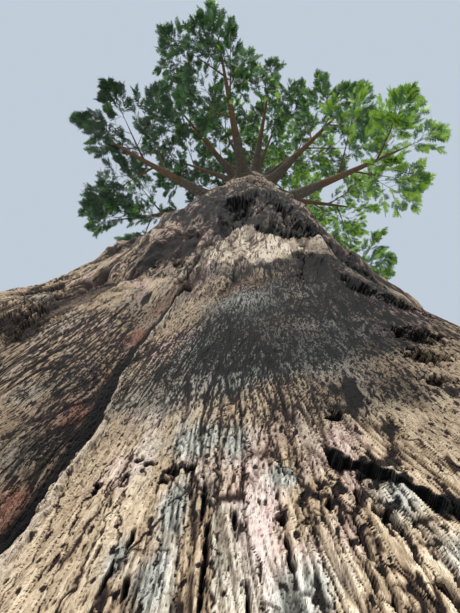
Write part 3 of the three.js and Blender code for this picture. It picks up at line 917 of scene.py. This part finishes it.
def limb_plan(n):
    """Where limb n starts, bends and ends, and how much room its foliage has."""
    rise = n / (LIMB_COUNT - 1)
    height = CROWN_FOOT + (CROWN_HEAD - CROWN_FOOT) * rise
    turn = FIRST_TURN + n * GOLDEN_ANGLE + 0.24 * (chance(n, 1) - 0.5)
    up_share = (height - CROWN_FOOT) / (TREE_HEIGHT - CROWN_FOOT)
    reach = WIDEST_REACH * (1 - up_share**CROWN_POWER) ** CROWN_FULLNESS * (0.9 + 0.2 * chance(n, 2))
    pitch = PITCH_LOW + (PITCH_HIGH - PITCH_LOW) * rise**1.3 + 0.16 * (chance(n, 3) - 0.5)
    surface = trunk_radius(height, turn)
    bare = BARE_SHARE * (reach - surface) if n < BOUGH_COUNT else 0
    limb = dict(leafy=n >= BOUGH_COUNT, room=reach - surface - bare)
    limb["start"] = np.array([*trunk_axis(height), height])
    limb["end"] = limb["start"] + heading(turn, pitch) * (surface + bare) / cos(pitch)
    limb["ahead"] = heading(turn, pitch + UPTURN)
    limb["aside"] = heading(turn + pi / 2, 0)
    limb["knee"] = limb["end"] - 0.5 * np.linalg.norm(limb["end"] - limb["start"]) * limb["ahead"]
    limb["girth"] = max(LIMB_GIRTH * reach, 2.2 * TWIG_RADIUS)
    return limb


limbs = [limb_plan(n) for n in range(LIMB_COUNT)]
crown_top = dict(end=np.array([*trunk_axis(TRUNK_TOP), TRUNK_TOP]), ahead=UP, aside=np.array([1.0, 0, 0]))
crown_top.update(room=TREE_HEIGHT - TRUNK_TOP, girth=TIP_RADIUS / LIMB_TAPER, leafy=False)
holders = limbs + [crown_top]
print(BOUGH_COUNT, "boughs,", LEAFY_COUNT, "leafy limbs and the top hold foliage")

# %% Each mass's own space
space_axes = np.array([(h["ahead"], h["aside"], np.cross(h["ahead"], h["aside"])) for h in holders])
space_half = np.array([0.5 * h["room"] * SPACE_SHAPE for h in holders])
space_centre = np.array([h["end"] + 0.5 * h["room"] * h["ahead"] for h in holders])
bare_points = np.array([bend(limb, [0.4, 0.6, 0.8, 1]) for limb in limbs[:BOUGH_COUNT]])
bare_girths = np.array([limb["girth"] for limb in limbs[:BOUGH_COUNT]])


def depths(points):
    """How deep each point is in each space: 0 in its middle and 1 at its edge."""
    local = np.einsum("pmj,mij->pmi", points[:, None] - space_centre, space_axes)
    return np.linalg.norm(local / space_half, axis=-1)


def are_free(n, points):
    """True if every point is in space n more than in any other, and clear of trunk and boughs."""
    depth = depths(points)
    own = depth[:, n].copy()
    depth[:, n] = np.inf
    from_trunk = np.linalg.norm(points[:, :2] - trunk_axis(points[:, 2]), axis=1)
    in_trunk = (points[:, 2] < TRUNK_TOP) & (from_trunk < trunk_radius(points[:, 2], 0) + 2 * TWIG_RADIUS)
    gaps = np.linalg.norm(points[:, None, None] - bare_points, axis=-1).min(-1) - BOUGH_ROOM * bare_girths
    if n < BOUGH_COUNT:
        gaps[:, n] = 1
    in_space = (own <= SPACE_EDGE).all() and (depth.min(1) >= own + OWN_LEAD).all()
    return bool(in_space and not in_trunk.any() and (gaps > 0).all())


def room_ahead(n, point, direction):
    """How far it is to the edge of space n: the root of a quadratic, with the space as unit sphere."""
    p = space_axes[n] @ (point - space_centre[n]) / space_half[n]
    d = space_axes[n] @ direction / space_half[n]
    a, b, c = d @ d, p @ d, p @ p - 1
    return min((-b + np.sqrt(max(b * b - a * c, 0))) / a, 2 * space_half[n][0])


rooms = 2 * space_half[:, 0]
print("the spaces are", round(rooms.min(), 2), "to", round(rooms.max(), 2), "m long")

# %% [markdown]
# ## Twigs and fronds
# The CAD masses stand for fronds with flat toothed blades. The same rule is followed here, so the
# leaves hang where the solids are: a stem that goes on from the limb, four twigs round it, and
# three fronds on each twig. A frond is tried long and then shorter, until it is free of the
# others.

# %% Fronds
STEM_SHARE = 1.5
STEM_TIP, TWIG_TIP = 0.008, 0.007
LEAFY_SUNK_SHARE, BOUGH_SUNK = 0.7, 0.12  # how far a stem starts inside its holder
FIRST_TWIG, TWIGS_SPREAD = 0.12, 0.56  # as shares of the stem
STEM_DRAW = 1000
TWIGS_IN_MASS, TWIG_ANGLE, TWIG_SHARE = 4, 0.95, 0.55
BLADE_LONGEST, BLADE_SHORTEST = 1.9, 0.34
BLADE_WIDTH, BLADE_SPLAY = 0.8, 0.85
BLADE_OUTLINE = np.array([(0.52, -0.5), (0.66, -0.27), (1, 0), (0.66, 0.27), (0.52, 0.5)])
BLADE_PROBES = np.vstack([BLADE_OUTLINE, [(0.5, 0), (0.3, -0.29), (0.3, 0.29)]])
BLADE_TRIES = (1, 0.82, 0.66, 0.5)
BLADE_ROOTS = (0.36, 0.9, 0.66)
wooden_lines = []  # start, end, radius at each
fronds = []  # mass, root, along, across, length


def add_frond(n, root, along, draw):
    """Tries one frond from long to short, and keeps the first that is free."""
    loose = heading(tau * chance(n, draw), pi * (chance(n, draw + 1) - 0.5))
    across = unit(np.cross(along, loose))
    room = min(room_ahead(n, root, along), BLADE_LONGEST)
    for share in BLADE_TRIES:
        length = share * room
        tests = root + length * (BLADE_PROBES[:, :1] * along + BLADE_WIDTH * BLADE_PROBES[:, 1:] * across)
        if length > BLADE_SHORTEST * space_half[n][0] and are_free(n, tests):
            fronds.append((n, root, along, across, length))
            return


for n, holder in enumerate(holders):
    start, ahead = holder["end"], holder["ahead"]
    stem_end = start + STEM_SHARE * space_half[n][0] * ahead
    radius = holder["girth"] * LIMB_TAPER
    sunk = BOUGH_SUNK
    if holder["leafy"]:
        sunk = LEAFY_SUNK_SHARE * np.linalg.norm(holder["end"] - holder["start"])
    wooden_lines.append((start - sunk * ahead, stem_end, radius, STEM_TIP))
    add_frond(n, start + BLADE_ROOTS[1] * (stem_end - start), ahead, STEM_DRAW)
    for k in range(TWIGS_IN_MASS):
        draw = 10 * (k + 1)
        base = start + (FIRST_TWIG + TWIGS_SPREAD * (k + 0.5) / TWIGS_IN_MASS) * (stem_end - start)
        round_stem = k * GOLDEN_ANGLE + tau * chance(n, 4)
        outwards = cos(round_stem) * space_axes[n][1] + sin(round_stem) * space_axes[n][2]
        angle = TWIG_ANGLE + 0.3 * (chance(n, draw) - 0.5)
        along = cos(angle) * ahead + sin(angle) * outwards
        tip = base + TWIG_SHARE * room_ahead(n, base, along) * along
        if not are_free(n, tip[None]):
            continue
        wooden_lines.append((base, tip, min(TWIG_RADIUS, 0.7 * radius), TWIG_TIP))
        beside = unit(np.cross(along, heading(tau * chance(n, draw + 1), 0.5)))
        for side in (-1, 0, 1):
            root = base + BLADE_ROOTS[side + 1] * (tip - base)
            splay = side * BLADE_SPLAY
            add_frond(n, root, cos(splay) * along + sin(splay) * beside, draw + 4 + 2 * side)
print(len(fronds), "fronds on", len(wooden_lines), "stems and twigs")

# %% [markdown]
# ## Shoots
# Each frond is one line with side shoots, left and right in turn, which reach the outline of the
# CAD blade. The frond's own line carries sprays as a shoot does. All shoots are made at once, as
# arrays with one row for each frond.

# %% Shoots
rng = np.random.default_rng(41)
SHOOTS = 9
mass_of, root, along, across, length = (np.array(column) for column in zip(*fronds))
over = np.cross(along, across)
count = len(fronds)


def blade_half_width(share):
    """Half the blade's width at a share of its length, as a share of its whole width."""
    return np.interp(share, [0, 0.52, 0.66, 1], [0, 0.5, 0.27, 0])


# Shoots stand evenly along a frond, shifted a little, and lean less near its tip.
place = 0.1 + 0.8 * (np.arange(SHOOTS) + 0.5) / SHOOTS + 0.04 * (rng.random((count, SHOOTS)) - 0.5)
side = np.where(np.arange(SHOOTS) % 2 == 0, 1.0, -1.0)
lean = 0.95 - 0.45 * place + 0.2 * (rng.random((count, SHOOTS)) - 0.5)
tilt = 1.1 * (rng.random((count, SHOOTS)) - 0.5)
shoot_root = root[:, None] + (place * length[:, None])[..., None] * along[:, None]
shoot_along = np.cos(lean)[..., None] * along[:, None]
shoot_along = shoot_along + (side * np.sin(lean) * np.cos(tilt))[..., None] * across[:, None]
shoot_along = shoot_along + (np.sin(lean) * np.sin(tilt))[..., None] * over[:, None]
# Each is as long as the blade is wide there, but never reaches past its tip.
wide = blade_half_width(np.minimum(place + 0.16, 1)) * BLADE_WIDTH / np.sin(lean)
shoot_length = length[:, None] * np.maximum(np.minimum(wide, 0.9 * (1 - place) + 0.02), 0.1)

shoot_root = np.vstack([shoot_root.reshape(-1, 3), root])
shoot_along = np.vstack([shoot_along.reshape(-1, 3), along])
shoot_length = np.concatenate([shoot_length.ravel(), 0.93 * length])
shoot_of = np.concatenate([np.repeat(np.arange(count), SHOOTS), np.arange(count)])
shoots = len(shoot_length)
is_side_shoot = np.arange(shoots) < count * SHOOTS
print(shoots, "shoots")

# %% [markdown]
# ## Sprays of leaves
# A sequoia's leaves are scales that clothe thin sprays like cord. Each spray is flat here, seven
# narrow lobes of two triangles, and it turns its face near to its frond's. Separate scales would
# take many times the faces, and pictures of leaves on cards would look flat from near. The sprays
# stand round a shoot at even turns, closer together near its tip.

# %% Sprays
SPRAYS = 13
SPRAY_LENGTH = 0.27
GOLDEN_SHARE = 0.382  # of a full turn, from one spray to the next
FLATNESS = 0.62  # sprays open wider in the frond's plane than out of it
# The square root sets sprays closer together near the tip.
share = np.sqrt((np.arange(SPRAYS) + 0.6) / SPRAYS) + 0.04 * (rng.random((shoots, SPRAYS)) - 0.5)
turn = tau * np.arange(SPRAYS) * GOLDEN_SHARE + tau * rng.random((shoots, 1))
opening = 0.75 - 0.35 * share + 0.3 * (rng.random((shoots, SPRAYS)) - 0.5)
# Two directions square to the shoot, of which the first is in the frond's plane.
first = across[shoot_of] - (across[shoot_of] * shoot_along).sum(1, keepdims=True) * shoot_along
first = unit(first + 1e-6)
second = np.cross(shoot_along, first)
outwards = np.cos(turn)[..., None] * first[:, None] + FLATNESS * np.sin(turn)[..., None] * second[:, None]
spray_along = np.cos(opening)[..., None] * shoot_along[:, None] + np.sin(opening)[..., None] * outwards
spray_along = unit(spray_along)
spray_root = shoot_root[:, None] + (share * shoot_length[:, None])[..., None] * shoot_along[:, None]
spray_face = unit(over[shoot_of][:, None] + 0.9 * rng.normal(size=(shoots, SPRAYS, 3)))
spray_across = unit(np.cross(spray_along, spray_face))
spray_over = np.cross(spray_along, spray_across)
size = SPRAY_LENGTH * (0.75 + 0.5 * rng.random((shoots, SPRAYS)))
size = np.minimum(size, 0.3 * length[shoot_of][:, None])

# A lobe: where it starts along the spray, its angle, reach and half width, in spray lengths.
lobes = [(0.0, 0.0, 1.0, 0.075)]
for start, reach, angle in ((0.12, 0.42, 0.8), (0.34, 0.4, 0.72), (0.56, 0.3, 0.66)):
    lobes += [(start, angle, reach, 0.06), (start + 0.09, -angle, reach * 0.95, 0.06)]
kites = []
for start, angle, reach, half_width in lobes:
    foot = np.array([start, 0])
    tip = foot + reach * np.array([cos(angle), sin(angle)])
    widest = foot + 0.45 * (tip - foot)
    beside = half_width * np.array([-sin(angle), cos(angle)])
    kites += [foot, widest - beside, tip, widest + beside]
kites = np.array(kites)
cup = 0.1 * kites[:, 1] ** 2 - 0.1 * kites[:, 0] ** 2
flat = kites[:, :1] * spray_along[..., None, :] + kites[:, 1:] * spray_across[..., None, :]
spray_corners = flat + cup[:, None] * spray_over[..., None, :]
spray_corners = spray_root[..., None, :] + size[..., None, None] * spray_corners
spray_corners = spray_corners.reshape(-1, len(kites), 3)
quads = np.arange(len(kites)).reshape(-1, 4)
print(len(spray_corners), "sprays of", len(lobes), "lobes")

# %% [markdown]
# ## Dealing the leaves out
# Old, dark leaves grow near a frond's root and young, bright ones at its tips, some masses are
# greener than others, and the sunny side is lighter. Each spray gets a number from all of that,
# and the numbers are cut into four kinds. The kinds are kept apart, in pieces small enough for
# other tools.

# %% Leaves
PER_PIECE = 13500  # sprays
KIND_LIMITS = [0.3, 0.62, 0.82]  # shares of all sprays at which the next kind starts
outer = share * np.where(is_side_shoot, 0.75, 1)[:, None]
mood = rng.random(len(MASSES))[mass_of[shoot_of]][:, None]
# Painted sunlight and shade: sprays towards +X are dealt lighter kinds, those towards -X darker ones.
sunny = 0.05 * np.clip(spray_root[..., 0], -3, 3)
youth_and_sun = (0.5 * outer + 0.3 * mood + 0.35 * rng.random((shoots, SPRAYS)) + sunny).ravel()
kind_of = np.digitize(youth_and_sun, np.quantile(youth_and_sun, KIND_LIMITS))
for kind, (material, slot) in enumerate(LEAVES):
    chosen = spray_corners[kind_of == kind]
    for begin in range(0, len(chosen), PER_PIECE):
        some = chosen[begin : begin + PER_PIECE]
        faces = (np.arange(len(some))[:, None, None] * len(kites) + quads).reshape(-1, 4)
        name = material.name.replace(" ", "_") + "_" + str(begin // PER_PIECE + 1)
        add_piece(name, some.reshape(-1, 3), faces, material, MASSES, soft=False)

# %% [markdown]
# ## Boughs, stems and shoots
# A limb is a closed tube along its curve. It swells into a collar where it leaves the trunk, is
# ridged a little, and thins into the stem of its foliage. A curve object with a bevel would do,
# but its ridges and collar would have to be sculpted. Stems and twigs sag a little and have seven sides,
# and the shoots, which are thin and many, have three.

# %% Tubes


def tubes(centres, radii, sides):
    """At each step of each line, a ring: centre + radius (across cos + over sin). Ends are closed.

    Centres are (lines, steps, 3), and radii (lines, steps, sides), or 1 for round tubes.
    """
    along = unit(np.gradient(centres, axis=1))
    level = np.where(np.abs(along[..., 2:]) > 0.9, [1.0, 0, 0], UP)
    across = unit(np.cross(along, level))
    over = np.cross(along, across)
    angle = tau * np.arange(sides) / sides
    ring = np.cos(angle)[:, None] * across[..., None, :] + np.sin(angle)[:, None] * over[..., None, :]
    points = centres[..., None, :] + radii[..., None] * ring
    many, steps = centres.shape[:2]
    first = np.arange(steps - 1)[:, None] * sides
    here = first + np.arange(sides)
    beside = first + (np.arange(sides) + 1) % sides
    rims = np.arange(1, sides - 1)
    end = (steps - 1) * sides
    one = [
        np.stack([here, beside, beside + sides], -1).reshape(-1, 3),
        np.stack([here, beside + sides, here + sides], -1).reshape(-1, 3),
        np.stack([0 * rims, rims + 1, rims], -1),
        np.stack([0 * rims, rims, rims + 1], -1) + end,
    ]
    faces = (np.arange(many)[:, None, None] * steps * sides + np.vstack(one)).reshape(-1, 3)
    return points.reshape(-1, 3), faces


# %% Boughs
BOUGH_STEPS, BOUGH_SIDES, BOUGH_RIDGES = 36, 14, 5
RIDGE_DEPTH, COLLAR_SWELL, COLLAR_LENGTH = 0.12, 0.7, 0.14
run = np.linspace(0, 1, BOUGH_STEPS)
bough_centres = np.array([bend(limb, 0.25 + 0.75 * run) for limb in limbs[:BOUGH_COUNT]])
girth = bare_girths[:, None] * (1 - (1 - LIMB_TAPER) * run)
from_axis = np.linalg.norm(bough_centres[..., :2] - trunk_axis(bough_centres[..., 2]), axis=-1)
outside = from_axis - np.array([trunk_radius(c[0, 2], 0) for c in bough_centres])[:, None]
collar = 1 + COLLAR_SWELL * np.exp(-np.maximum(outside, -0.1) / COLLAR_LENGTH)
round_bough = np.arange(BOUGH_SIDES) * BOUGH_RIDGES / BOUGH_SIDES
along_bough = (6 * run)[None, :, None] + 9.0 * np.arange(BOUGH_COUNT)[:, None, None]
ridged = 1 + RIDGE_DEPTH * noise(round_bough, along_bough, BOUGH_RIDGES, 21)
points, faces = tubes(bough_centres, (girth * collar)[..., None] * ridged, BOUGH_SIDES)
add_piece("boughs", points, faces, BOUGH_BARK, BOUGHS)

# %% Stems, twigs and shoots
STEM_STEPS, STEM_SIDES, SHOOT_STEPS, SHOOT_SIDES = 7, 7, 3, 3
SAG = 0.03  # share of a stem's length
SIDE_SHOOT_RADIUS, FROND_RADIUS = 0.006, 0.011
starts, ends, thick, thin = (np.array(column) for column in zip(*wooden_lines))
step = np.linspace(0, 1, STEM_STEPS)
sag = SAG * np.linalg.norm(ends - starts, axis=1)[:, None] * np.sin(pi * step)
centres = starts[:, None] + step[None, :, None] * (ends - starts)[:, None] - sag[..., None] * UP
radii = thick[:, None] + (thin - thick)[:, None] * step
points, faces = tubes(centres, radii[..., None], STEM_SIDES)
add_piece("stems", points, faces, TWIG_BARK, MASSES)

step = np.linspace(0, 1, SHOOT_STEPS)
centres = shoot_root[:, None] + step[None, :, None] * (shoot_along * shoot_length[:, None])[:, None]
radii = np.where(is_side_shoot, SIDE_SHOOT_RADIUS, FROND_RADIUS)[:, None] * (1 - 0.7 * step)
points, faces = tubes(centres, radii[..., None], SHOOT_SIDES)
add_piece("shoots", points, faces, TWIG_BARK, MASSES)

# %% [markdown]
# ## Floor and light
# The tree stands on a pale floor under an even pale sky. A soft sun, high on the left and in
# front, draws the bark's relief, and a second one, forty degrees wide, fills its shadows from the
# front, as a large studio softbox would.

# %% Floor and lights
bpy.ops.mesh.primitive_plane_add(size=600)
floor = bpy.context.object
floor.name = "floor"
# A floor with matt paint. It gives the eye a plain ground that takes the tree's shadow.
floor.data.materials.append(new_material("pale floor", Base_Color=linear("#d9dbdc"), Roughness=0.9)[0])

world = bpy.data.worlds.new("pale sky")
bpy.context.scene.world = world
world.use_nodes = True
world.node_tree.nodes["Background"].inputs["Color"].default_value = linear("#d0dcea")
world.node_tree.nodes["Background"].inputs["Strength"].default_value = 0.85

# Name, strength, degrees across, colour, direction.
LIGHTS = [
    ("sun", 3.3, 2, (1.0, 0.96, 0.9), (0.36, 0.79, -0.95)),
    ("soft fill", 1.6, 40, (0.96, 0.98, 1.0), (0.45, 0.9, -0.1)),
]
for name, strength, spread, colour, direction in LIGHTS:
    light_data = bpy.data.lights.new(name, "SUN")
    light_data.energy = strength
    light_data.angle = radians(spread)
    light_data.color = colour
    light = bpy.data.objects.new(name, light_data)
    light.rotation_euler = Vector(direction).to_track_quat("-Z", "Y").to_euler()
    bpy.context.scene.collection.objects.link(light)
print(len(LIGHTS), "lights")

# %% [markdown]
# ## Camera
# The camera is at eye level for a tree of this scale, close to the bark, and looks almost
# straight up. Its directions are worked out from an elevation, an azimuth and a roll, because
# Euler angles are hard to read for a camera that points so near to the zenith.

# %% Camera
CAMERA_PLACE = (0.0, -1.944, 0.923)
ELEVATION, AZIMUTH, ROLL = radians(70.891), radians(-3.745), radians(8.351)
forward = Vector((sin(AZIMUTH) * cos(ELEVATION), cos(AZIMUTH) * cos(ELEVATION), sin(ELEVATION)))
level_right = Vector((cos(AZIMUTH), -sin(AZIMUTH), 0))
level_up = level_right.cross(forward)
right = cos(ROLL) * level_right + sin(ROLL) * level_up
up = cos(ROLL) * level_up - sin(ROLL) * level_right
camera_data = bpy.data.cameras.new("camera")
camera_data.lens = 27.0
camera_data.clip_start, camera_data.clip_end = 0.02, 1000
camera = bpy.data.objects.new("camera", camera_data)
camera.matrix_world = Matrix.Translation(CAMERA_PLACE) @ Matrix((right, up, -forward)).transposed().to_4x4()
bpy.context.scene.collection.objects.link(camera)
bpy.context.scene.camera = camera
bpy.context.scene.view_settings.view_transform = "Standard"
print("the camera is", CAMERA_PLACE[2], "m up")
